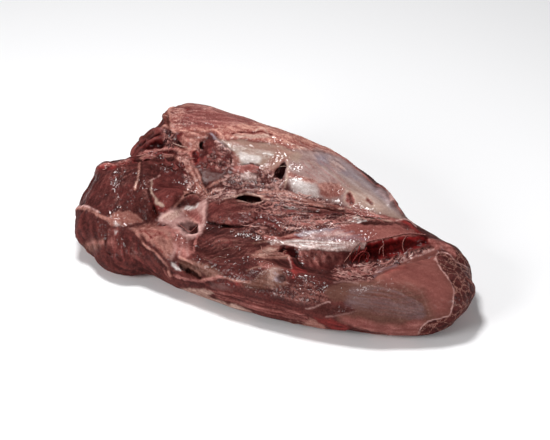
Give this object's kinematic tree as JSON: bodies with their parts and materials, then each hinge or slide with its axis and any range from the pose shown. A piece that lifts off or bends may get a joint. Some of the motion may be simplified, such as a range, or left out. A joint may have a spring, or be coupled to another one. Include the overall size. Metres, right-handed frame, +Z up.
{
  "type": "boneless beef clod",
  "caption": "Raw boneless beef shoulder clod, one thick slab of seamed muscles with silverskin and fat, lying flat.",
  "frame": {"origin": "middle of the bounding box, on the plane that the meat lies on", "axes": "+X along the slab to its rounded heel end, -Y to the low front edge, +Z up"},
  "size_m": [0.4752, 0.2656, 0.1296],
  "materials": {
    "raw_beef": "moist raw muscle, dark maroon red, with thin grey-white silverskin and pale fat along its seams"
  },
  "bodies": {
    "root": {"beef_clod": "raw_beef"}
  },
  "joints": []
}
